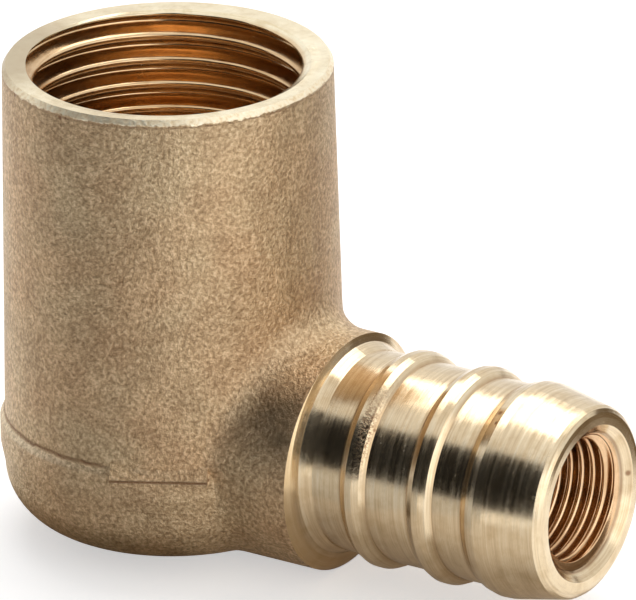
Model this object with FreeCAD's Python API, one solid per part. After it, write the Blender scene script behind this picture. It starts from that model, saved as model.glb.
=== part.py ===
"""Hose barb elbow: one forged brass body, an upright threaded inlet and a level turned barb."""
import math
import os

import FreeCAD
import Part

os.makedirs("parts", exist_ok=True)

V = FreeCAD.Vector
UP = V(0, 0, 1)
ALONG = V(1, 0, 0)

# Sizes the photo is scaled by: a half inch parallel pipe thread in the inlet, an eighth inch one in the outlet.
INLET_MAJOR_R = 20.955 / 2
OUTLET_MAJOR_R = 9.728 / 2

# Heights above the foot the elbow stands on.
BARB_AXIS_Z = 9.0
BOSS_TOP_Z = 34.8

# Boss: a forged cone with a slight draft, faced and bevelled at the top, round at the bottom.
BOSS_TOP_R = 11.5
BOSS_DRAFT = math.radians(1.05)
RIM_BEVEL_DROP = 0.35
RIM_BEVEL_IN = 0.25
BOWL_START_DROP = 3.6
BOWL_START_Z = BARB_AXIS_Z - BOWL_START_DROP
BOWL_CORNER_R = 4.2
FOOT_SLOPE = math.radians(22.0)

# Lower die half: a little fuller than the upper one, so a ledge runs round at the parting line.
LEDGE_STEP = 0.34
LEDGE_TOP_RISE = 0.05
LEDGE_TOP_Z = BARB_AXIS_Z + LEDGE_TOP_RISE
LEDGE_SLOPE_DROP = 0.6
LEDGE_BELLY_DROP = 2.2
LEDGE_BELLY_Z = BARB_AXIS_Z - LEDGE_BELLY_DROP
LEDGE_END_ANGLE = math.radians(20.0)

# Flash left by the trimming die on the front of the body, cut off straight.
FLASH_STEP = 0.45
FLASH_WIDTH = 6.8
FLASH_BOTTOM_DROP = 1.0
FLASH_BOTTOM_Z = BARB_AXIS_Z - FLASH_BOTTOM_DROP
FLASH_FACE_HEIGHT = 0.4
FLASH_SLOPE_RISE = 0.95
FLASH_AZIMUTH = math.radians(-62.0)

# How far the ledge and the flash reach into the wall that carries them.
ROOT_DEPTH = 1.0

# Forged neck between the boss and the turned barb, set a little low in the dies.
NECK_R = 8.5
NECK_SET_DOWN = 0.45
NECK_END_X = 16.4
NECK_BLEND_R = 2.4

# Turned shoulder where the tool leaves the forging.
SHOULDER_START_X = 14.1
SHOULDER_START_R = 9.1
SHOULDER_EDGE_X = 15.15
SHOULDER_EDGE_R = 7.52
SHOULDER_BULGE = 0.1
SHOULDER_FOOT_X = 16.0

# Barb: a plain stem with two half round ribs and a long nose.
STEM_R = 7.1
RIB_XS = (19.3, 24.7)
RIB_CREST_R = 7.72
RIB_HALF_WIDTH = 1.05
NOSE_CREST_X = 29.3
NOSE_CREST_R = 7.72
NOSE_BACK_WIDTH = 1.25
NOSE_FRONT_BEND = 0.7
NOSE_BULGE = 0.22
NOSE_END_R = 6.9
LIP_R = 0.85
MOUTH_X = 34.2

# A round ring of the barb is made of this many straight chords, which keeps its facets few.
RIB_CHORD_COUNT = 5
LIP_CHORD_COUNT = 4
BEND_CHORD_COUNT = 3

# Inlet bore at the thread's major diameter, relief and waterway below it.
INLET_THREAD_DEPTH = 15.0
WATERWAY_R = 7.0
RELIEF_ANGLE = math.radians(30.0)
WATERWAY_BOTTOM_Z = 6.6
DRILL_POINT = math.radians(31.0)

# How far the stem's solid reaches back into the neck, and the cutters past what they cut.
STEM_ROOT = 6.0
CUTTER_MARGIN = 3.0

# Outlet bore at the thread's major diameter and the drilled passage behind it.
OUTLET_THREAD_DEPTH = 9.0
OUTLET_CHAMFER_R = 5.55
PASSAGE_R = 4.25


def line(a, b):
    return Part.makeLine(a, b)


def arc(a, middle, b):
    return Part.Arc(a, middle, b).toShape()


def chords(a, middle, b, count):
    """Straight edges between points spread evenly along the arc through three points."""
    curve = Part.Arc(a, middle, b)
    first, last = curve.FirstParameter, curve.LastParameter
    points = [curve.value(first + (last - first) * i / count) for i in range(count + 1)]
    return [line(points[i], points[i + 1]) for i in range(count)]


def bowed(a, b, bulge, count):
    """Chords from a to b that bow out to the left of the way, by the bulge at the middle."""
    way = b.sub(a).normalize()
    middle = a.add(b).multiply(0.5).add(V(-way.z, 0, way.x).multiply(bulge))
    return chords(a, middle, b, count)


def turned(edges, axis_point, axis):
    """Solid of revolution of a closed outline."""
    face = Part.Face(Part.Wire(edges))
    return face.revolve(axis_point, axis, 360)


def boss_point(r, z):
    return V(r, 0, z)


def barb_point(x, r):
    return V(x, 0, BARB_AXIS_Z + r)


def wall_radius(z):
    """Radius of the drafted wall at a height."""
    return BOSS_TOP_R + (BOSS_TOP_Z - RIM_BEVEL_DROP - z) * math.tan(BOSS_DRAFT)


def on_corner(angle):
    """Point of the bowl's round corner, by its angle below level."""
    wall_end = boss_point(wall_radius(BOWL_START_Z), BOWL_START_Z)
    centre = wall_end - V(math.cos(BOSS_DRAFT), 0, math.sin(BOSS_DRAFT)) * BOWL_CORNER_R
    return centre + V(BOWL_CORNER_R * math.cos(angle), 0, -BOWL_CORNER_R * math.sin(angle))


def forged_boss():
    """Bevelled rim, drafted wall, round corner and a shallow cone down to the foot."""
    rim_z = BOSS_TOP_Z - RIM_BEVEL_DROP
    wall_end = boss_point(wall_radius(BOWL_START_Z), BOWL_START_Z)
    end_angle = math.pi / 2 - FOOT_SLOPE
    corner_end = on_corner(end_angle)
    foot_r = corner_end.x - corner_end.z / math.tan(FOOT_SLOPE)
    bevel_foot = boss_point(BOSS_TOP_R, rim_z)
    bevel_top = boss_point(BOSS_TOP_R - RIM_BEVEL_IN, BOSS_TOP_Z)
    foot = boss_point(foot_r, 0)
    edges = [
        line(boss_point(0, BOSS_TOP_Z), bevel_top),
        line(bevel_top, bevel_foot),
        line(bevel_foot, wall_end),
        arc(wall_end, on_corner(end_angle / 2), corner_end),
        line(corner_end, foot),
        line(foot, boss_point(0, 0)),
        line(boss_point(0, 0), boss_point(0, BOSS_TOP_Z)),
    ]
    return turned(edges, V(0, 0, 0), UP)


def parting_ledge():
    """Ring that makes the lower die half stand proud of the upper one."""
    wall_r = wall_radius(LEDGE_TOP_Z)
    ledge_r = wall_r + LEDGE_STEP
    root_r = wall_r - ROOT_DEPTH
    end = on_corner(LEDGE_END_ANGLE)
    p = [
        boss_point(root_r, LEDGE_TOP_Z),
        boss_point(wall_r, LEDGE_TOP_Z),
        boss_point(ledge_r, LEDGE_TOP_Z - LEDGE_SLOPE_DROP),
        boss_point(ledge_r, LEDGE_BELLY_Z),
        end,
        boss_point(root_r, end.z),
    ]
    edges = [line(p[i], p[(i + 1) % len(p)]) for i in range(len(p))]
    return turned(edges, V(0, 0, 0), UP)


def flash_land():
    """Straight trimmed flash: level below, falling away above."""
    half = FLASH_WIDTH / 2
    face_top_z = FLASH_BOTTOM_Z + FLASH_FACE_HEIGHT
    slope_top_z = face_top_z + FLASH_SLOPE_RISE
    face_x = wall_radius(FLASH_BOTTOM_Z) + FLASH_STEP
    slope_top_x = math.sqrt(wall_radius(slope_top_z) ** 2 - half ** 2)
    root_x = slope_top_x - ROOT_DEPTH
    outline = [
        V(root_x, -half, FLASH_BOTTOM_Z),
        V(face_x, -half, FLASH_BOTTOM_Z),
        V(face_x, -half, face_top_z),
        V(slope_top_x, -half, slope_top_z),
        V(root_x, -half, slope_top_z),
    ]
    edges = [line(outline[i], outline[(i + 1) % len(outline)]) for i in range(len(outline))]
    land = Part.Face(Part.Wire(edges)).extrude(V(0, FLASH_WIDTH, 0))
    land.rotate(V(0, 0, 0), UP, math.degrees(FLASH_AZIMUTH))
    return land


def neck():
    return Part.makeCylinder(NECK_R, NECK_END_X, V(0, 0, BARB_AXIS_Z - NECK_SET_DOWN), ALONG)


def shoulder_cutter():
    """Everything the turning tool removes outside the shoulder's curve."""
    start = barb_point(SHOULDER_START_X, SHOULDER_START_R)
    edge = barb_point(SHOULDER_EDGE_X, SHOULDER_EDGE_R)
    foot = barb_point(SHOULDER_FOOT_X, STEM_R)
    clear_x = NECK_END_X + CUTTER_MARGIN
    clear_r = NECK_R + NECK_SET_DOWN + CUTTER_MARGIN
    rest = [
        foot,
        barb_point(clear_x, STEM_R),
        barb_point(clear_x, clear_r),
        barb_point(SHOULDER_START_X, clear_r),
        start,
    ]
    edges = bowed(start, edge, SHOULDER_BULGE, BEND_CHORD_COUNT)
    edges.append(line(edge, foot))
    edges += [line(rest[i], rest[i + 1]) for i in range(len(rest) - 1)]
    return turned(edges, V(0, 0, BARB_AXIS_Z), ALONG)


def barb():
    """Stem, ribs, nose and lip, turned about the level axis."""
    edges = []
    root_x = SHOULDER_START_X - STEM_ROOT
    start = barb_point(root_x, STEM_R)
    here = start
    for x in RIB_XS:
        back = barb_point(x - RIB_HALF_WIDTH, STEM_R)
        crest = barb_point(x, RIB_CREST_R)
        front = barb_point(x + RIB_HALF_WIDTH, STEM_R)
        edges.append(line(here, back))
        edges += chords(back, crest, front, RIB_CHORD_COUNT)
        here = front
    slope = (NOSE_CREST_R - NOSE_END_R) / (MOUTH_X - LIP_R - NOSE_CREST_X)
    nose_back = barb_point(NOSE_CREST_X - NOSE_BACK_WIDTH, STEM_R)
    nose_front = barb_point(NOSE_CREST_X + NOSE_FRONT_BEND, NOSE_CREST_R - slope * NOSE_FRONT_BEND)
    edges.append(line(here, nose_back))
    edges += bowed(nose_back, nose_front, NOSE_BULGE, BEND_CHORD_COUNT)
    lip_start = barb_point(MOUTH_X - LIP_R, NOSE_END_R)
    lip_middle = barb_point(
        MOUTH_X - LIP_R + LIP_R * math.sin(math.pi / 4),
        NOSE_END_R - LIP_R + LIP_R * math.cos(math.pi / 4),
    )
    lip_end = barb_point(MOUTH_X, NOSE_END_R - LIP_R)
    edges.append(line(nose_front, lip_start))
    edges += chords(lip_start, lip_middle, lip_end, LIP_CHORD_COUNT)
    edges.append(line(lip_end, barb_point(MOUTH_X, 0)))
    edges.append(line(barb_point(MOUTH_X, 0), barb_point(root_x, 0)))
    edges.append(line(barb_point(root_x, 0), start))
    return turned(edges, V(0, 0, BARB_AXIS_Z), ALONG)


def inlet_hollow():
    """Thread bore, relief cone, waterway and drill point."""
    thread_end = BOSS_TOP_Z - INLET_THREAD_DEPTH
    relief_end = thread_end - (INLET_MAJOR_R - WATERWAY_R) * math.tan(RELIEF_ANGLE)
    tip = WATERWAY_BOTTOM_Z - WATERWAY_R * math.tan(DRILL_POINT)
    p = [
        boss_point(0, BOSS_TOP_Z + 1.0),
        boss_point(INLET_MAJOR_R, BOSS_TOP_Z + 1.0),
        boss_point(INLET_MAJOR_R, thread_end),
        boss_point(WATERWAY_R, relief_end),
        boss_point(WATERWAY_R, WATERWAY_BOTTOM_Z),
        boss_point(0, tip),
    ]
    edges = [line(p[i], p[(i + 1) % len(p)]) for i in range(len(p))]
    return turned(edges, V(0, 0, 0), UP)


def outlet_hollow():
    """Mouth chamfer, thread bore, its drill cone and the passage to the waterway."""
    chamfer_drop = OUTLET_CHAMFER_R - OUTLET_MAJOR_R
    thread_end = MOUTH_X - OUTLET_THREAD_DEPTH
    p = [
        barb_point(MOUTH_X + 1.0, 0),
        barb_point(MOUTH_X + 1.0, OUTLET_CHAMFER_R + 1.0),
        barb_point(MOUTH_X - chamfer_drop, OUTLET_MAJOR_R),
        barb_point(thread_end, OUTLET_MAJOR_R),
        barb_point(thread_end - 0.5, PASSAGE_R),
        barb_point(0.0, PASSAGE_R),
        barb_point(0.0, 0),
    ]
    edges = [line(p[i], p[(i + 1) % len(p)]) for i in range(len(p))]
    return turned(edges, V(0, 0, BARB_AXIS_Z), ALONG)


def crotch_edges(shape):
    """Edges where the neck runs into the boss and its round bottom."""
    found = []
    for edge in shape.Edges:
        near = True
        for point in edge.discretize(7):
            across = math.hypot(point.y, point.z - (BARB_AXIS_Z - NECK_SET_DOWN))
            radial = math.hypot(point.x, point.y)
            on_neck = abs(across - NECK_R) < 0.02 and point.x > 0
            if not (on_neck and radial < wall_radius(0) + 0.5):
                near = False
                break
        if near:
            found.append(edge)
    return found


def build():
    body = forged_boss().fuse(neck()).removeSplitter()
    body = body.makeFillet(NECK_BLEND_R, crotch_edges(body))
    body = body.fuse(parting_ledge())
    body = body.fuse(flash_land())
    body = body.cut(shoulder_cutter())
    body = body.fuse(barb())
    body = body.cut(inlet_hollow())
    body = body.cut(outlet_hollow())
    return body.removeSplitter()


elbow = build()
solids = elbow.Solids
if len(solids) != 1:
    raise RuntimeError("the elbow must be one solid, found %d" % len(solids))
elbow = solids[0]
if not elbow.isValid():
    raise RuntimeError("the elbow's solid isn't valid")
elbow.exportStep("parts/elbow_body.step")
box = elbow.BoundBox
print("elbow_body", round(box.XLength, 3), round(box.YLength, 3), round(box.ZLength, 3), "volume", round(elbow.Volume, 1))
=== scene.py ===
"""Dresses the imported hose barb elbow: threads, forged and turned brass, floor, light and camera."""

import math

import bpy
from mathutils import Matrix, Vector


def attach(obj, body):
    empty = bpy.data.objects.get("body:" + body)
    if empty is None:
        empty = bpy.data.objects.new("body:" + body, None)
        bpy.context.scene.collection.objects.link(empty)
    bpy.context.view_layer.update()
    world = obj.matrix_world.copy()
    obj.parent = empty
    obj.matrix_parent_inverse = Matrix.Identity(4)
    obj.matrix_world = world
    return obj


MM = 0.001
FULL_TURN = 2 * math.pi

# Sizes shared with the solid, in millimetres.
BARB_AXIS_Z = 9.0
BOSS_TOP_Z = 34.8
RIM_BEVEL_DROP = 0.35
NECK_R = 8.5
NECK_AXIS_Z = 8.55
SHOULDER_START_X = 14.1
SHOULDER_EDGE_X = 15.15
LEDGE_TOP_Z = 9.05
LEDGE_SLOPE_DROP = 0.6
FLASH_AZIMUTH = math.radians(-62.0)
FLASH_HALF_WIDTH = 3.4
MOUTH_X = 34.2
INLET_MAJOR_R = 10.4775
INLET_DEPTH = 15.0
OUTLET_MAJOR_R = 4.864
OUTLET_DEPTH = 9.0
OUTLET_CHAMFER_R = 5.55

# Form of a 55 degree thread, to the pitch: its rounding radius and the height of its sharp triangle.
THREAD_HALF_ANGLE = math.radians(27.5)
THREAD_ROUNDING = 0.137329
THREAD_TRIANGLE = 0.960491

# Coarse thread in the boss; wear rounds its crests off, and the phase is where one crest lies.
INLET_MINOR_R = 9.33
INLET_PITCH = 1.814
INLET_WEAR = 0.35
INLET_PHASE_Z = 31.13
INLET_PHASE_ANGLE = math.radians(123.2)
INLET_CHAMFER_R = 9.84
INLET_CHAMFER_ANGLE = math.radians(50.0)
INLET_BACK_R = INLET_MAJOR_R - 0.018
INLET_ROOT_R = INLET_BACK_R - 0.03
INLET_POINTS_AROUND = 300
INLET_ROWS_PER_TURN = 22

# Fine thread in the mouth.
OUTLET_MINOR_R = 4.283
OUTLET_PITCH = 0.907
OUTLET_WEAR = 1.0
OUTLET_PHASE_X = 33.50
OUTLET_LEAD_SLOPE = 1.9
OUTLET_BACK_R = OUTLET_MAJOR_R - 0.016
OUTLET_ROOT_R = OUTLET_BACK_R - 0.015
OUTLET_POINTS_AROUND = 220
OUTLET_ROWS_PER_TURN = 18

# The coarse thread's mesh covers the rim's inner edge by a width, and lies a little above it.
RIM_COVER_WIDTH = 0.12
RIM_COVER_LIFT = 0.002

# How far the closed backs of the two meshes stay from the ends of the threads.
BACK_GAP = 0.01
BACK_END_GAP = 0.02

# Noises over the surface: waves to the millimetre, octaves and their roughness.
GRAIN = (3.7, 3.0, 0.62)
FINE_GRAIN = (10.0, 2.0, 0.6)
BLOTCHES = (0.40, 3.0, 0.6)
HUE_DRIFT = (0.16, 2.0, 0.5)
WANDER = (1.3, 3.0, 0.6)
BEVEL_GRAIN = (3.5, 3.0, 0.6)
BEVEL_EDGE = (1.6, 3.0, 0.6)
FINE_RINGS = (14.0, 3.0, 0.65)
WIDE_RINGS = (3.2, 2.0, 0.6)
SMUDGES = (0.8, 3.0, 0.6)
SPOTS = (2.6, 3.0, 0.65)
CHATTER_TICKS = (4.5, 3.0, 0.7)

# Noise stretched into rings round an axis, and a little along the barb for the chatter.
RINGS_STRETCH = {"X": (1.0, 0.02, 0.02), "Z": (0.02, 0.02, 1.0)}
CHATTER_STRETCH = (0.7, 1.0, 1.0)

# Colours over a noise's value, linear; the last three multiply the colour that they are laid over.
WHITE = (1.0, 1.0, 1.0)
FORGED_RAMP = (
    (0.30, (0.38, 0.26, 0.145)),
    (0.49, (0.60, 0.43, 0.258)),
    (0.66, (0.84, 0.645, 0.42)),
)
# The bevel's colours are worn bright brass, raised further as a painted highlight.
BEVEL_WEAR_AND_HIGHLIGHT_RAMP = (
    (0.30, (0.80, 0.63, 0.40)),
    (0.50, (0.98, 0.84, 0.60)),
    (0.70, (1.0, 0.92, 0.72)),
)
TURNED_RAMP = (
    (0.36, (0.62, 0.47, 0.295)),
    (0.50, (0.75, 0.60, 0.395)),
    (0.64, (0.82, 0.69, 0.49)),
)
BLOTCH_RAMP = ((0.32, (0.84, 0.81, 0.79)), (0.62, WHITE))
HUE_RAMP = ((0.35, (1.0, 0.96, 0.93)), (0.65, (0.97, 1.0, 1.0)))
SMUDGE_RAMP = ((0.30, (0.88, 0.84, 0.78)), (0.55, WHITE))

# Colours of the marks and how much of each covers the metal.
# The ledge slope's colour is a painted highlight on its up-facing slope.
SLOPE_HIGHLIGHT_COLOUR = (1.0, 0.86, 0.64)
SLOPE_HIGHLIGHT_SHARE = 0.80
# The dark colour is dirt on some marks and painted shade on others: the ledge's crease and the burr's
# shadow line.
DIRT_AND_SHADE_COLOUR = (0.22, 0.105, 0.05)
DIRT_AND_SHADE_SHARE = 0.85
NICK_AND_SHADOW_SHARE = 0.80
# The crotch colour is a stain and painted shade where the neck meets the boss.
CROTCH_STAIN_AND_SHADE_COLOUR = (0.12, 0.095, 0.06)
# The bevel's and the rim's shade colours paint shade on one side of the rim.
BEVEL_SHADE_COLOUR = (0.44, 0.34, 0.20)
BEVEL_SHADE_SHARE = 0.80
RIM_SHADE_COLOUR = (0.50, 0.40, 0.25)
RIM_SHADE_SHARE = 0.75
# The groove colour paints shade into the feet of the ribs and the nose.
GROOVE_SHADE_COLOUR = (0.42, 0.27, 0.14)
GROOVE_SHADE_SHARE = 0.50
SHOULDER_BAND_COLOUR = (0.66, 0.46, 0.24)
SHOULDER_BAND_SHARE = 0.60

# Factors on the turned brass in the boss and in the mouth, and at the faced rim, where the factor paints a
# highlight.
BORE_TINT = (1.0, 0.87, 0.75)
MOUTH_TINT = (1.0, 0.83, 0.73)
RIM_HIGHLIGHT_GAIN = (1.25, 1.55, 1.90)

# Roughness over a noise's value: from, to, and the result at either end.
FORGED_ROUGHNESS = (0.3, 0.7, 0.40, 0.56)
BEVEL_ROUGHNESS = (0.3, 0.7, 0.44, 0.32)
TURNED_ROUGHNESS = (0.3, 0.7, 0.14, 0.22)
SPOT_ROUGHNESS = (0.50, 0.75, 0.0, 0.07)
SLOPE_HIGHLIGHT_ROUGHNESS = 0.15

# Breaks in the marks over a noise's value, in the same way.
CROTCH_BREAKS = (0.3, 0.6, 0.85, 0.55)
SLOPE_HIGHLIGHT_BREAKS = (0.35, 0.6, 0.45, 1.0)
CREASE_BREAKS = (0.36, 0.58, 0.35, 1.0)
FLASH_CUT_BREAKS = (0.38, 0.55, 0.55, 1.0)
BEVEL_FOOT_BREAKS = (0.46, 0.60, 0.0, 0.8)
CHATTER_BREAKS = (0.40, 0.60, 0.0, 1.0)

# Bumps: strength, depth in metres, and how marks and fine grain weigh against the main noise.
FORGED_BUMP = (0.78, 0.00018)
BEVEL_BUMP = (0.35, 0.00010)
TURNED_BUMP = 0.30
BORE_BUMP = 0.10
TURNED_DEPTH = 0.00001
FINE_GRAIN_WEIGHT = 0.30
DIRT_AND_SHADE_WEIGHT = 0.8
NICK_AND_SHADOW_WEIGHT = 3.0

# How far turned brass spreads its reflections across the rings.
TURNED_SPREAD = 0.6
BORE_SPREAD = 0.2

# Marks on the forging, in millimetres: a line has a half width, a spot an inner and an outer reach.
# Centre of the stain and painted shade in the crotch of boss and neck.
CROTCH_STAIN_AND_SHADE = (13.5, -7.2, 12.7)
CROTCH_REACH = (0.3, 4.3)
LEDGE_MIN_R = 11.4
LEDGE_SLOPE_Z = LEDGE_TOP_Z - LEDGE_SLOPE_DROP / 2 - 0.05
LEDGE_SLOPE_HALF_WIDTH = 0.45
LEDGE_END = (-FLASH_HALF_WIDTH - 0.9, -FLASH_HALF_WIDTH)
# The painted highlight on the ledge's slope fades out towards the flash.
SLOPE_HIGHLIGHT_FADE = (-10.0, -5.5, 1.0, 0.2)
# The crease at the ledge's top takes painted shade.
CREASE_Z = LEDGE_TOP_Z - 0.02
CREASE_HALF_WIDTH = 0.22
WANDER_HEIGHT = 0.30
FLASH_CUT_Z = 8.32
FLASH_CUT_HALF_WIDTH = 0.17
FLASH_CUT_CORE = FLASH_HALF_WIDTH - 0.1
FLASH_CUT_END = FLASH_HALF_WIDTH + 0.25
FLASH_MIN_R = 11.9

# The bevel's ragged lower edge and the broken line of dirt under it.
BEVEL_EDGE_Z = BOSS_TOP_Z - RIM_BEVEL_DROP
BEVEL_EDGE_FADE = (BEVEL_EDGE_Z - 0.10, BEVEL_EDGE_Z + 0.02)
BEVEL_EDGE_HEIGHT = 0.7
BEVEL_FOOT_HALF_WIDTH = 0.16
BEVEL_FOOT_Z = BEVEL_EDGE_Z - BEVEL_FOOT_HALF_WIDTH

# The faced rim, painted brighter than the bore below it as a highlight, and darker on one side with
# painted shade.
RIM_FADE = (BOSS_TOP_Z - 0.5, BOSS_TOP_Z - 0.1)
RIM_SHADED_SIDE = (-10.5, -5.0, 34.8)
RIM_SHADED_REACH = (3.0, 9.0)

# Marks on the barb: painted shade at the feet of the ribs and the nose, shoulder, chatter on the first
# rib, and a burr in the mouth with its painted shadow line.
GROOVES_X = (18.25, 20.35, 23.65, 25.75, 28.05)
GROOVE_HALF_WIDTH = 0.24
SHOULDER_BAND_FADE = (SHOULDER_EDGE_X - 0.25, SHOULDER_EDGE_X - 0.05)
CHATTER_X = 19.75
CHATTER_CORE = 0.30
CHATTER_HALF_WIDTH = 0.62
CHATTER_Z = 13.2
CHATTER_HALF_HEIGHT = 3.6
BURR_X = 33.60
BURR_HALF_WIDTH = 0.16
BURR_MAX_R = 5.35
BURR_SHARE = 0.8

# Nicks on the barb and pits on the rim's edge: place and reach, full within a share of the reach.
MARK_CORE = 0.3
BARB_MARKS = (
    ((28.94, -3.21, 15.79), 0.26),
    ((29.13, -4.03, 15.40), 0.20),
    ((29.35, -3.55, 15.62), 0.13),
    ((33.95, 5.28, 9.27), 0.30),
    ((19.93, -5.39, 14.24), 0.18),
    ((20.20, -5.57, 13.45), 0.22),
    ((20.10, -6.10, 12.85), 0.18),
)
RIM_MARKS = (
    ((-1.24, -11.43, 34.20), 0.24),
    ((-0.75, -11.45, 34.25), 0.16),
    ((-6.16, -9.71, 34.25), 0.20),
)

# Limits that tell machined faces from forged ones.
BARB_MAX_R = NECK_R - 0.012
BARB_MIN_X = SHOULDER_START_X - 0.6
RIM_MIN_Z = BOSS_TOP_Z - 0.004
BORE_MAX_R = INLET_MAJOR_R + 0.02
BOWL_CONE_Z = 1.2
BOWL_CONE_SLOPE = 0.2

# The photograph's camera: angles, millimetres from the crossing of the two axes, lens and sensor in
# millimetres, and clipping in metres.
CAMERA_AZIMUTH = math.radians(33.39)
CAMERA_ELEVATION = math.radians(22.59)
CAMERA_ROLL = math.radians(-0.998)
CAMERA_DISTANCE = 756.5
CAMERA_ASIDE = 9.987
CAMERA_UP = 7.230
CAMERA_LENS = 610.9
CAMERA_SENSOR = 36.0
CAMERA_CLIP_NEAR = 0.01
CAMERA_CLIP_FAR = 20.0

# The white floor, and the world as it lights the object and as it is seen.
FLOOR_HALF_WIDTH = 3000
FLOOR_COLOUR = (0.88, 0.88, 0.88)
FLOOR_GLOW = 0.50
WORLD_LIGHT = 0.40
WORLD_SEEN = 0.96

# Matte cards that shade the reflections alone: corners in millimetres, then colour.
CARDS = {
    "dark_card": (
        ((-310, -130, 2), (120, -130, 2), (120, -130, 195), (-310, -130, 195)),
        (0.02, 0.02, 0.02),
    ),
    "front_card": (
        ((-230, -130, 0.3), (14, -130, 0.3), (14, -16, 0.3), (-230, -16, 0.3)),
        (0.85, 0.85, 0.85),
    ),
    "far_card": (
        ((150, 20, 2), (60, 200, 2), (60, 200, 48), (150, 20, 48)),
        (0.24, 0.18, 0.12),
    ),
    "near_card": (
        ((-16, -42, 0.03), (34, -42, 0.03), (34, 8, 0.03), (-16, 8, 0.03)),
        (0.97, 0.92, 0.86),
    ),
    "bowl_card": (
        ((-16, -15, 0.06), (7, -15, 0.06), (7, 12, 0.06), (-16, 12, 0.06)),
        (0.44, 0.37, 0.28),
    ),
    "back_card": (
        ((14, 10, 0.3), (32, 10, 0.3), (36, 24, 0.3), (300, 24, 0.3),
         (300, 300, 0.3), (60, 300, 0.3), (28, 40, 0.3)),
        (0.22, 0.165, 0.11),
    ),
}

# Soft lamps: place, aim and size in millimetres, then watts.
SOFTBOXES = {
    "top_box": ((-60, 250, 620), (10, 0, 15), (700, 500), 2.5),
    "right_strip": ((230, -100, 50), (5, 0, 20), (340, 260), 0.20),
}


# Shader nodes

class Nodes:
    """Small wrapper that adds shader nodes and links them."""

    def __init__(self, tree):
        self.tree = tree
        tree.nodes.clear()

    def add(self, kind, inputs=None, **settings):
        node = self.tree.nodes.new(kind)
        for name, value in settings.items():
            setattr(node, name, value)
        for name, value in (inputs or {}).items():
            self.put(node.inputs[name], value)
        return node

    def put(self, socket, value):
        """Links a socket, or sets it to a number, a vector or a colour without alpha."""
        if isinstance(value, bpy.types.NodeSocket):
            self.tree.links.new(value, socket)
        elif socket.type == "RGBA":
            socket.default_value = (*value, 1.0)
        else:
            socket.default_value = value

    def math(self, operation, a, b=None):
        node = self.add("ShaderNodeMath", operation=operation)
        self.put(node.inputs[0], a)
        if b is not None:
            self.put(node.inputs[1], b)
        return node.outputs[0]

    def plus(self, a, b):
        return self.math("ADD", a, b)

    def minus(self, a, b):
        return self.math("SUBTRACT", a, b)

    def times(self, first, *others):
        for other in others:
            first = self.math("MULTIPLY", first, other)
        return first

    def most(self, first, *others):
        for other in others:
            first = self.math("MAXIMUM", first, other)
        return first

    def above(self, value, limit):
        return self.math("GREATER_THAN", value, limit)

    def below(self, value, limit):
        return self.math("LESS_THAN", value, limit)

    def noise(self, vector, scale, detail, roughness):
        node = self.add("ShaderNodeTexNoise", {"Scale": scale, "Detail": detail, "Roughness": roughness})
        self.put(node.inputs["Vector"], vector)
        return node.outputs["Fac"]

    def ramp(self, factor, stops):
        """Colour ramp: stops are (position, colour) pairs in rising order."""
        node = self.add("ShaderNodeValToRGB")
        self.put(node.inputs["Fac"], factor)
        elements = node.color_ramp.elements
        while len(elements) < len(stops):
            elements.new(0.5)
        for element, (position, colour) in zip(elements, stops):
            element.position = position
            element.color = (*colour, 1.0)
        return node.outputs["Color"]

    def smooth(self, value, low, high, out_low=0.0, out_high=1.0):
        """Smooth step from one result to another between two limits."""
        node = self.add("ShaderNodeMapRange", interpolation_type="SMOOTHSTEP")
        self.put(node.inputs["Value"], value)
        self.put(node.inputs["From Min"], low)
        self.put(node.inputs["From Max"], high)
        self.put(node.inputs["To Min"], out_low)
        self.put(node.inputs["To Max"], out_high)
        return node.outputs["Result"]

    def blend(self, factor, a, b, blend_type="MIX"):
        node = self.add("ShaderNodeMix", data_type="RGBA", blend_type=blend_type)
        factor_socket, a_socket, b_socket = node.inputs[0], node.inputs[6], node.inputs[7]
        self.put(factor_socket, factor)
        self.put(a_socket, a)
        self.put(b_socket, b)
        return node.outputs[2]

    def tinted(self, colour, tint, factor=1.0):
        return self.blend(factor, colour, tint, "MULTIPLY")

    def mixed_shaders(self, factor, a, b):
        node = self.add("ShaderNodeMixShader", {"Fac": factor})
        self.put(node.inputs[1], a)
        self.put(node.inputs[2], b)
        return node.outputs[0]


def new_material(name):
    material = bpy.data.materials.new(name)
    material.use_nodes = True
    return material, Nodes(material.node_tree)


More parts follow.
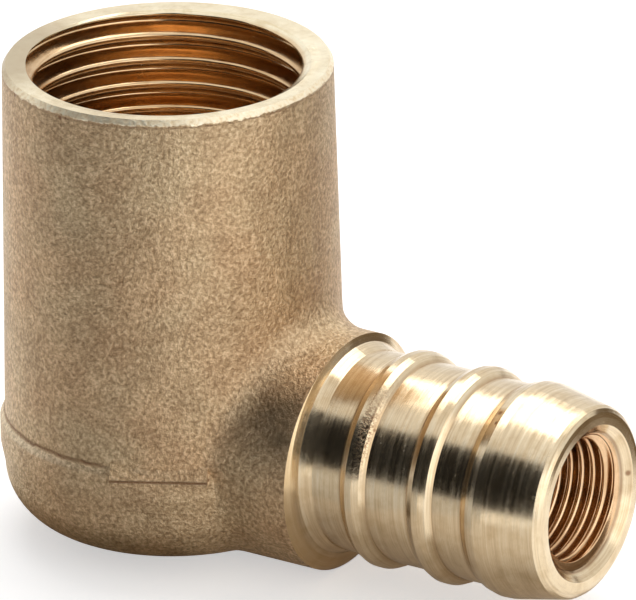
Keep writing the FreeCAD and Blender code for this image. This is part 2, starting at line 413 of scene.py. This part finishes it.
class Place:
    """A surface point in millimetres, and masks by where it lies."""

    def __init__(self, n):
        self.n = n
        scaled = n.add("ShaderNodeVectorMath", operation="SCALE")
        n.put(scaled.inputs[0], n.add("ShaderNodeTexCoord").outputs["Object"])
        n.put(scaled.inputs["Scale"], 1 / MM)
        self.mm = scaled.outputs[0]
        self.x, self.y, self.z = n.add("ShaderNodeSeparateXYZ", {"Vector": self.mm}).outputs
        self.r = self.length(self.x, self.y)

    def length(self, a, b):
        n = self.n
        return n.math("SQRT", n.plus(n.times(a, a), n.times(b, b)))

    def from_level_axis(self, axis_z):
        """Distance from an axis that runs along X at a height."""
        return self.length(self.y, self.n.minus(self.z, axis_z))

    def stretched(self, scale):
        node = self.n.add("ShaderNodeVectorMath", operation="MULTIPLY")
        self.n.put(node.inputs[0], self.mm)
        self.n.put(node.inputs[1], scale)
        return node.outputs[0]

    def line(self, value, middle, half_width, core=0.0):
        """One within the core about the middle, falling smoothly to nothing at the half width."""
        away = self.n.math("ABSOLUTE", self.n.minus(value, middle))
        return self.n.smooth(away, core, half_width, 1.0, 0.0)

    def near(self, point, inner, outer):
        """One within the inner distance of a point, nothing beyond the outer one."""
        node = self.n.add("ShaderNodeVectorMath", operation="DISTANCE")
        self.n.put(node.inputs[0], self.mm)
        self.n.put(node.inputs[1], point)
        return self.n.smooth(node.outputs["Value"], inner, outer, 1.0, 0.0)

    def marks(self, marks):
        return self.n.most(*(self.near(point, MARK_CORE * reach, reach) for point, reach in marks))

    def front(self):
        """One on the side of the part that faces the photograph's camera."""
        return self.n.below(self.y, 0.0)


# Brass

def metal(n, colour, rough, height, strength, depth, **constants):
    bump = n.add("ShaderNodeBump", {"Height": height, "Strength": strength, "Distance": depth})
    shader = n.add("ShaderNodeBsdfPrincipled", {"Metallic": 1.0, **constants})
    n.put(shader.inputs["Base Color"], colour)
    n.put(shader.inputs["Roughness"], rough)
    n.put(shader.inputs["Normal"], bump.outputs["Normal"])
    return shader


def forged_colour(n, place, grain):
    """Grain with bright tips, blotches and a slow drift of hue, darker in the crotch of boss and neck with
    a stain and painted shade.
    """
    blotches = n.noise(place.mm, *BLOTCHES)
    drift = n.noise(place.mm, *HUE_DRIFT)
    colour = n.ramp(grain, FORGED_RAMP)
    colour = n.tinted(colour, n.ramp(blotches, BLOTCH_RAMP))
    colour = n.tinted(colour, n.ramp(drift, HUE_RAMP))
    # Stain and painted shade in the crotch, broken up by the blotches.
    crotch = n.times(place.near(CROTCH_STAIN_AND_SHADE, *CROTCH_REACH), n.smooth(blotches, *CROTCH_BREAKS))
    return n.blend(crotch, colour, CROTCH_STAIN_AND_SHADE_COLOUR)


def die_marks(n, place, grain):
    """Masks of a painted highlight on the ledge's slope and of the dark lines along ledge, flash and
    bevel: painted shade in the ledge's crease, a darker line on the flash, pits on the rim's edge and dirt
    under the bevel.
    """
    on_ledge = n.above(place.r, LEDGE_MIN_R)
    wander = n.minus(n.noise(place.mm, *WANDER), 0.5)
    wandering_z = n.plus(place.z, n.times(wander, WANDER_HEIGHT))

    # The trimmed flash takes the ledge's place, on the front alone, and the ledge ends there.
    aside = n.plus(n.times(place.x, -math.sin(FLASH_AZIMUTH)), n.times(place.y, math.cos(FLASH_AZIMUTH)))
    over_flash = place.line(aside, 0.0, FLASH_CUT_END, core=FLASH_CUT_CORE)
    at_flash = n.times(over_flash, place.front(), n.above(place.r, FLASH_MIN_R))
    elsewhere = n.minus(1.0, n.times(n.smooth(aside, *LEDGE_END), place.front()))

    # The up-facing slope below the ledge's crease takes a painted highlight.
    slope = n.times(place.line(place.z, LEDGE_SLOPE_Z, LEDGE_SLOPE_HALF_WIDTH), on_ledge)
    fading = n.times(n.smooth(aside, *SLOPE_HIGHLIGHT_FADE), n.smooth(grain, *SLOPE_HIGHLIGHT_BREAKS))
    slope_highlight = n.times(slope, elsewhere, fading)

    # Painted shade along the crease at the ledge's top.
    crease = n.times(place.line(wandering_z, CREASE_Z, CREASE_HALF_WIDTH), on_ledge)
    crease = n.times(crease, elsewhere, n.smooth(grain, *CREASE_BREAKS))
    # A darker line across the trimmed flash.
    cut = n.times(place.line(place.z, FLASH_CUT_Z, FLASH_CUT_HALF_WIDTH), at_flash)
    cut = n.times(cut, n.smooth(grain, *FLASH_CUT_BREAKS))
    foot = place.line(wandering_z, BEVEL_FOOT_Z, BEVEL_FOOT_HALF_WIDTH)
    foot = n.times(foot, n.smooth(grain, *BEVEL_FOOT_BREAKS))
    return slope_highlight, n.most(crease, cut, place.marks(RIM_MARKS), foot)


def forged_shader(n, place):
    """Shot-blasted forging skin with dirt and painted shade along the marks of the dies, and a painted
    highlight on the ledge's slope.
    """
    grain = n.noise(place.mm, *GRAIN)
    fine = n.noise(place.mm, *FINE_GRAIN)
    slope_highlight, dirt_and_shade = die_marks(n, place, grain)
    colour = forged_colour(n, place, grain)
    # A painted highlight on the ledge's slope, then dirt and painted shade on the dark lines.
    colour = n.blend(n.times(slope_highlight, SLOPE_HIGHLIGHT_SHARE), colour, SLOPE_HIGHLIGHT_COLOUR)
    colour = n.blend(n.times(dirt_and_shade, DIRT_AND_SHADE_SHARE), colour, DIRT_AND_SHADE_COLOUR)
    height = n.plus(grain, n.times(fine, FINE_GRAIN_WEIGHT))
    height = n.minus(height, n.times(dirt_and_shade, DIRT_AND_SHADE_WEIGHT))
    rough = n.plus(n.smooth(fine, *FORGED_ROUGHNESS), n.times(slope_highlight, SLOPE_HIGHLIGHT_ROUGHNESS))
    return metal(n, colour, rough, height, *FORGED_BUMP).outputs["BSDF"]


def bevel_shader(n, place):
    """Worn bright bevel between the faced rim and the forging's wall, its colours raised further as a
    painted highlight, with painted shade on one side.
    """
    grain = n.noise(place.mm, *BEVEL_GRAIN)
    # Painted shade on one side of the bevel.
    shaded_side = n.times(place.near(RIM_SHADED_SIDE, *RIM_SHADED_REACH), BEVEL_SHADE_SHARE)
    colour = n.blend(shaded_side, n.ramp(grain, BEVEL_WEAR_AND_HIGHLIGHT_RAMP), BEVEL_SHADE_COLOUR)
    colour = n.blend(n.times(place.marks(RIM_MARKS), DIRT_AND_SHADE_SHARE), colour, DIRT_AND_SHADE_COLOUR)
    rough = n.smooth(grain, *BEVEL_ROUGHNESS)
    return metal(n, colour, rough, grain, *BEVEL_BUMP).outputs["BSDF"]


def rim_colour(n, place, colour):
    """Brightens the turned colour at the faced rim as a painted highlight, and darkens it on one side with
    painted shade.
    """
    at_rim = n.smooth(place.z, *RIM_FADE)
    # Painted shade on one side of the rim.
    shaded_side = n.times(place.near(RIM_SHADED_SIDE, *RIM_SHADED_REACH), RIM_SHADE_SHARE, at_rim)
    return n.blend(shaded_side, n.tinted(colour, RIM_HIGHLIGHT_GAIN, at_rim), RIM_SHADE_COLOUR)


def barb_colour(n, place, colour):
    """Paints shade into the feet of the ribs, and the shoulder in a browner band."""
    groove_shade = n.most(*(place.line(place.x, groove_x, GROOVE_HALF_WIDTH) for groove_x in GROOVES_X))
    band = n.smooth(place.x, *SHOULDER_BAND_FADE, 1.0, 0.0)
    colour = n.blend(n.times(groove_shade, GROOVE_SHADE_SHARE), colour, GROOVE_SHADE_COLOUR)
    return n.blend(n.times(band, SHOULDER_BAND_SHARE), colour, SHOULDER_BAND_COLOUR)


def chatter(n, place):
    """Short tool marks across the first rib, on the side the photograph shows."""
    ticks = n.smooth(n.noise(place.stretched(CHATTER_STRETCH), *CHATTER_TICKS), *CHATTER_BREAKS)
    on_rib = place.line(place.x, CHATTER_X, CHATTER_HALF_WIDTH, core=CHATTER_CORE)
    return n.times(ticks, on_rib, place.line(place.z, CHATTER_Z, CHATTER_HALF_HEIGHT), place.front())


def barb_nicks_and_burr_shadow(n, place):
    """Nicks and chatter on the barb, and the burr's shadow line inside the mouth."""
    in_mouth = n.below(place.from_level_axis(BARB_AXIS_Z), BURR_MAX_R)
    # Painted shadow line of the burr inside the mouth.
    burr = n.times(place.line(place.x, BURR_X, BURR_HALF_WIDTH), in_mouth, BURR_SHARE)
    return n.most(place.marks(BARB_MARKS), chatter(n, place), burr)


def turned_shader(n, place, axis, tint=WHITE, strength=TURNED_BUMP, spread=TURNED_SPREAD):
    """Lathe-turned brass: fine rings about the axis, streaked reflections and smudges."""
    ringed = place.stretched(RINGS_STRETCH[axis])
    fine_rings = n.noise(ringed, *FINE_RINGS)
    wide_rings = n.noise(ringed, *WIDE_RINGS)
    smudges = n.noise(place.mm, *SMUDGES)
    spots = n.noise(place.mm, *SPOTS)
    rings = n.plus(n.times(fine_rings, 0.5), n.times(wide_rings, 0.5))
    colour = n.tinted(n.ramp(rings, TURNED_RAMP), n.ramp(smudges, SMUDGE_RAMP))
    colour = n.tinted(colour, tint)
    height = fine_rings
    if axis == "Z":
        # At the rim, a painted highlight, and painted shade on one side.
        colour = rim_colour(n, place, colour)
    else:
        # On the barb: painted shade at the feet of the ribs, nicks, chatter, and the burr's painted shadow
        # line.
        nicks_and_burr_shadow = barb_nicks_and_burr_shadow(n, place)
        colour = n.blend(n.times(nicks_and_burr_shadow, NICK_AND_SHADOW_SHARE), barb_colour(n, place, colour), DIRT_AND_SHADE_COLOUR)
        height = n.minus(height, n.times(nicks_and_burr_shadow, NICK_AND_SHADOW_WEIGHT))
    rough = n.plus(n.smooth(wide_rings, *TURNED_ROUGHNESS), n.smooth(spots, *SPOT_ROUGHNESS))
    shader = metal(n, colour, rough, height, strength, TURNED_DEPTH, Anisotropic=spread)
    tangent = n.add("ShaderNodeTangent", direction_type="RADIAL", axis=axis)
    n.put(shader.inputs["Tangent"], tangent.outputs["Tangent"])
    return shader.outputs["BSDF"]


def bevel_mask(n, place):
    """One above the ragged line where the bevel meets the forging's wall."""
    ragged = n.minus(n.noise(place.mm, *BEVEL_EDGE), 0.5)
    return n.smooth(n.plus(place.z, n.times(ragged, BEVEL_EDGE_HEIGHT)), *BEVEL_EDGE_FADE)


def barb_mask(n, place):
    """The barb's turned faces lie inside the neck's cylinder, past the shoulder's start."""
    inside = n.below(place.from_level_axis(NECK_AXIS_Z), BARB_MAX_R)
    return n.times(inside, n.above(place.x, BARB_MIN_X))


def machined_mask(n, place):
    """The faced rim, the bored inside of the boss and the drilled passage to the barb."""
    rim = n.above(place.z, RIM_MIN_Z)
    # Inside the boss every point lies nearer its axis than the thread's wall, and above the bowl's cone.
    over_bowl = n.above(n.minus(place.z, n.times(place.r, BOWL_CONE_SLOPE)), BOWL_CONE_Z)
    bore = n.times(n.below(place.r, BORE_MAX_R), over_bowl)
    in_passage = n.below(place.from_level_axis(BARB_AXIS_Z), OUTLET_MAJOR_R)
    passage = n.times(in_passage, n.below(place.x, MOUTH_X - OUTLET_DEPTH), n.above(place.x, 0.0))
    return n.most(rim, bore, passage)


def body_brass():
    """Forged brass, with the bevel and the machined faces found by where they lie."""
    material, n = new_material("forged_and_turned_brass")
    place = Place(n)
    bored = turned_shader(n, place, "Z", BORE_TINT, BORE_BUMP, BORE_SPREAD)
    surface = forged_shader(n, place)
    surface = n.mixed_shaders(bevel_mask(n, place), surface, bevel_shader(n, place))
    surface = n.mixed_shaders(barb_mask(n, place), surface, turned_shader(n, place, "X"))
    surface = n.mixed_shaders(machined_mask(n, place), surface, bored)
    n.add("ShaderNodeOutputMaterial", {"Surface": surface})
    return material


def thread_brass(name, axis, tint):
    material, n = new_material(name)
    n.add("ShaderNodeOutputMaterial", {"Surface": turned_shader(n, Place(n), axis, tint)})
    return material


# Threads

def thread_radius(offset, pitch, crest_r, root_r, wear):
    """Radius of a female 55 degree thread at an axial offset from its crest; wear rounds it off."""
    from_crest = abs((offset / pitch + 0.5) % 1.0 - 0.5) * pitch
    from_root = pitch / 2 - from_crest
    round_r = THREAD_ROUNDING * pitch
    tall = THREAD_TRIANGLE * pitch
    reach = round_r * math.cos(THREAD_HALF_ANGLE)
    depth = 2 * tall / 3
    if from_crest < reach:
        height = round_r - math.sqrt(round_r * round_r - from_crest * from_crest)
    elif from_root < reach:
        height = depth - round_r + math.sqrt(round_r * round_r - from_root * from_root)
    else:
        height = from_crest / math.tan(THREAD_HALF_ANGLE) - tall / 6
    worn = (1 - math.cos(FULL_TURN * from_crest / pitch)) / 2
    return crest_r + (root_r - crest_r) * ((1 - wear) * height / depth + wear * worn)


def add_object(name, data):
    obj = bpy.data.objects.new(name, data)
    bpy.context.scene.collection.objects.link(obj)
    return obj


def ring_mesh(name, rows, place, sharp_rows):
    """Closed tube of rows: each row is a list of (radius, along) pairs round the axis."""
    count = len(rows[0])
    total = len(rows)
    points = []
    for row in rows:
        for i, (r, along) in enumerate(row):
            points.append(place(r, FULL_TURN * i / count, along))
    faces = []
    for j in range(total):
        k = (j + 1) % total
        for i in range(count):
            m = (i + 1) % count
            faces.append((j * count + i, j * count + m, k * count + m, k * count + i))
    mesh = bpy.data.meshes.new(name)
    mesh.from_pydata(points, [], faces)
    mesh.polygons.foreach_set("use_smooth", [True] * len(mesh.polygons))
    mesh.update(calc_edges=True)
    sharp = {j % total for j in sharp_rows}
    for edge in mesh.edges:
        first, second = (v // count for v in edge.vertices)
        if first == second and first in sharp:
            edge.use_edge_sharp = True
    return add_object(name, mesh)


def steps_down(start, depth, step):
    """Evenly spaced values from the start down to the depth below it."""
    return [start - j * step for j in range(int(depth / step) + 1)]


def inlet_thread():
    """Right-hand thread in the boss, with the strip of the flat rim that it breaks through."""
    around = INLET_POINTS_AROUND
    cover_r = INLET_MAJOR_R + RIM_COVER_WIDTH
    top = BOSS_TOP_Z + RIM_COVER_LIFT

    def radius(i, z):
        turns = (FULL_TURN * i / around - INLET_PHASE_ANGLE) / FULL_TURN
        offset = z - INLET_PHASE_Z - INLET_PITCH * turns
        r = thread_radius(offset, INLET_PITCH, INLET_MINOR_R, INLET_ROOT_R, INLET_WEAR)
        return max(r, INLET_CHAMFER_R - (BOSS_TOP_Z - z) * math.tan(INLET_CHAMFER_ANGLE))

    def place(r, angle, z):
        return (r * math.cos(angle) * MM, r * math.sin(angle) * MM, z * MM)

    levels = steps_down(BOSS_TOP_Z, INLET_DEPTH, INLET_PITCH / INLET_ROWS_PER_TURN)
    rows = [[(cover_r, top)] * around]
    rows.append([(radius(i, BOSS_TOP_Z), top) for i in range(around)])
    for z in levels[1:]:
        rows.append([(radius(i, z), z) for i in range(around)])
    rows.append([(INLET_BACK_R, BOSS_TOP_Z - INLET_DEPTH + BACK_END_GAP)] * around)
    rows.append([(INLET_BACK_R, BOSS_TOP_Z - BACK_GAP)] * around)
    rows.append([(cover_r, BOSS_TOP_Z + RIM_COVER_LIFT / 2)] * around)
    return ring_mesh("inlet_thread", rows, place, sharp_rows=(0, 1, -4, -3, -2, -1))


def outlet_thread():
    """Right-hand thread in the barb's mouth, cut back by the mouth's chamfer."""
    around = OUTLET_POINTS_AROUND
    start = MOUTH_X - (OUTLET_CHAMFER_R - OUTLET_MAJOR_R)
    end = MOUTH_X - OUTLET_DEPTH

    def radius(i, x):
        offset = x - OUTLET_PHASE_X - OUTLET_PITCH * i / around
        r = thread_radius(offset, OUTLET_PITCH, OUTLET_MINOR_R, OUTLET_ROOT_R, OUTLET_WEAR)
        lead_r = OUTLET_MAJOR_R - OUTLET_LEAD_SLOPE * (start - x)
        return max(r, min(lead_r, OUTLET_ROOT_R))

    def place(r, angle, x):
        return (x * MM, r * math.cos(angle) * MM, (BARB_AXIS_Z + r * math.sin(angle)) * MM)

    levels = steps_down(start, start - end, OUTLET_PITCH / OUTLET_ROWS_PER_TURN)
    rows = [[(radius(i, x), x) for i in range(around)] for x in levels]
    rows.append([(OUTLET_BACK_R, end + BACK_END_GAP)] * around)
    rows.append([(OUTLET_BACK_R, start + BACK_GAP)] * around)
    return ring_mesh("outlet_thread", rows, place, sharp_rows=(0, -3, -2, -1))


# Camera, floor, cards and light

def make_camera():
    az, el, roll = CAMERA_AZIMUTH, CAMERA_ELEVATION, CAMERA_ROLL
    back = Vector((math.sin(az) * math.cos(el), -math.cos(az) * math.cos(el), math.sin(el)))
    level_right = Vector((math.cos(az), math.sin(az), 0.0))
    level_up = back.cross(level_right)
    right = level_right * math.cos(roll) + level_up * math.sin(roll)
    up = level_up * math.cos(roll) - level_right * math.sin(roll)
    centre = Vector((0.0, 0.0, BARB_AXIS_Z))
    centre += right * CAMERA_ASIDE + up * CAMERA_UP + back * CAMERA_DISTANCE
    data = bpy.data.cameras.new("camera")
    data.lens = CAMERA_LENS
    data.sensor_width = CAMERA_SENSOR
    data.clip_start = CAMERA_CLIP_NEAR
    data.clip_end = CAMERA_CLIP_FAR
    camera = add_object("camera", data)
    camera.matrix_world = Matrix.Translation(centre * MM) @ Matrix((right, up, back)).transposed().to_4x4()
    bpy.context.scene.camera = camera


def plane(name, corners, material):
    mesh = bpy.data.meshes.new(name)
    mesh.from_pydata([tuple(c * MM for c in corner) for corner in corners], [], [range(len(corners))])
    mesh.materials.append(material)
    obj = add_object(name, mesh)
    return obj


def card(name, corners, colour):
    """Matte card that shades reflections and doesn't show in the picture."""
    material, n = new_material(name)
    shader = n.add("ShaderNodeBsdfDiffuse", {"Color": colour})
    n.add("ShaderNodeOutputMaterial", {"Surface": shader.outputs["BSDF"]})
    obj = plane(name, corners, material)
    obj.visible_camera = False
    obj.visible_shadow = False
    obj.visible_diffuse = False


def seen_directly(n):
    """One where the camera sees the surface, itself or mirrored in metal."""
    path = n.add("ShaderNodeLightPath")
    return n.most(path.outputs["Is Camera Ray"], path.outputs["Is Glossy Ray"])


def make_floor():
    """Pale floor that the camera and reflections see as white, apart from the object's shadow."""
    material, n = new_material("floor_white")
    lit = n.add("ShaderNodeBsdfDiffuse", {"Color": FLOOR_COLOUR}).outputs["BSDF"]
    glow = n.add("ShaderNodeEmission", {"Color": WHITE, "Strength": FLOOR_GLOW}).outputs["Emission"]
    seen = n.add("ShaderNodeAddShader")
    n.put(seen.inputs[0], lit)
    n.put(seen.inputs[1], glow)
    surface = n.mixed_shaders(seen_directly(n), lit, seen.outputs[0])
    n.add("ShaderNodeOutputMaterial", {"Surface": surface})
    far = FLOOR_HALF_WIDTH
    plane("floor", ((-far, -far, 0), (far, -far, 0), (far, far, 0), (-far, far, 0)), material)


def softbox(name, place, aim, size, watts):
    data = bpy.data.lights.new(name, "AREA")
    data.shape = "RECTANGLE"
    data.size = size[0] * MM
    data.size_y = size[1] * MM
    data.energy = watts
    lamp = add_object(name, data)
    lamp.location = Vector(place) * MM
    lamp.rotation_mode = "QUATERNION"
    lamp.rotation_quaternion = (Vector(aim) - Vector(place)).to_track_quat("-Z", "Y")


def make_world():
    """Even light; the camera and reflections see it as the pale backdrop."""
    world = bpy.data.worlds.new("world")
    world.use_nodes = True
    n = Nodes(world.node_tree)
    strength = n.plus(n.times(seen_directly(n), WORLD_SEEN - WORLD_LIGHT), WORLD_LIGHT)
    sky = n.add("ShaderNodeBackground", {"Color": WHITE, "Strength": strength})
    n.add("ShaderNodeOutputWorld", {"Surface": sky.outputs[0]})
    bpy.context.scene.world = world


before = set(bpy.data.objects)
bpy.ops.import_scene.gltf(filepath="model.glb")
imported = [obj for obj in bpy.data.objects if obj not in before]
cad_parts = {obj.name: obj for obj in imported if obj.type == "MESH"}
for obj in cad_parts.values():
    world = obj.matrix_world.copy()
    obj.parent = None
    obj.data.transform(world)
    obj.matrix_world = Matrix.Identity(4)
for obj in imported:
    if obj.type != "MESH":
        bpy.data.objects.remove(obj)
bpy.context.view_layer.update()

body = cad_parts["elbow_body"]
body.data.materials.clear()
body.data.materials.append(body_brass())

inlet = inlet_thread()
inlet.data.materials.append(thread_brass("turned_brass_inlet", "Z", BORE_TINT))
outlet = outlet_thread()
outlet.data.materials.append(thread_brass("turned_brass_outlet", "X", MOUTH_TINT))
for piece in (inlet, outlet):
    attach(piece, "root")

make_floor()
for card_name, card_look in CARDS.items():
    card(card_name, *card_look)
for lamp_name, lamp_setup in SOFTBOXES.items():
    softbox(lamp_name, *lamp_setup)
make_world()
make_camera()
bpy.context.scene.view_settings.view_transform = "Standard"
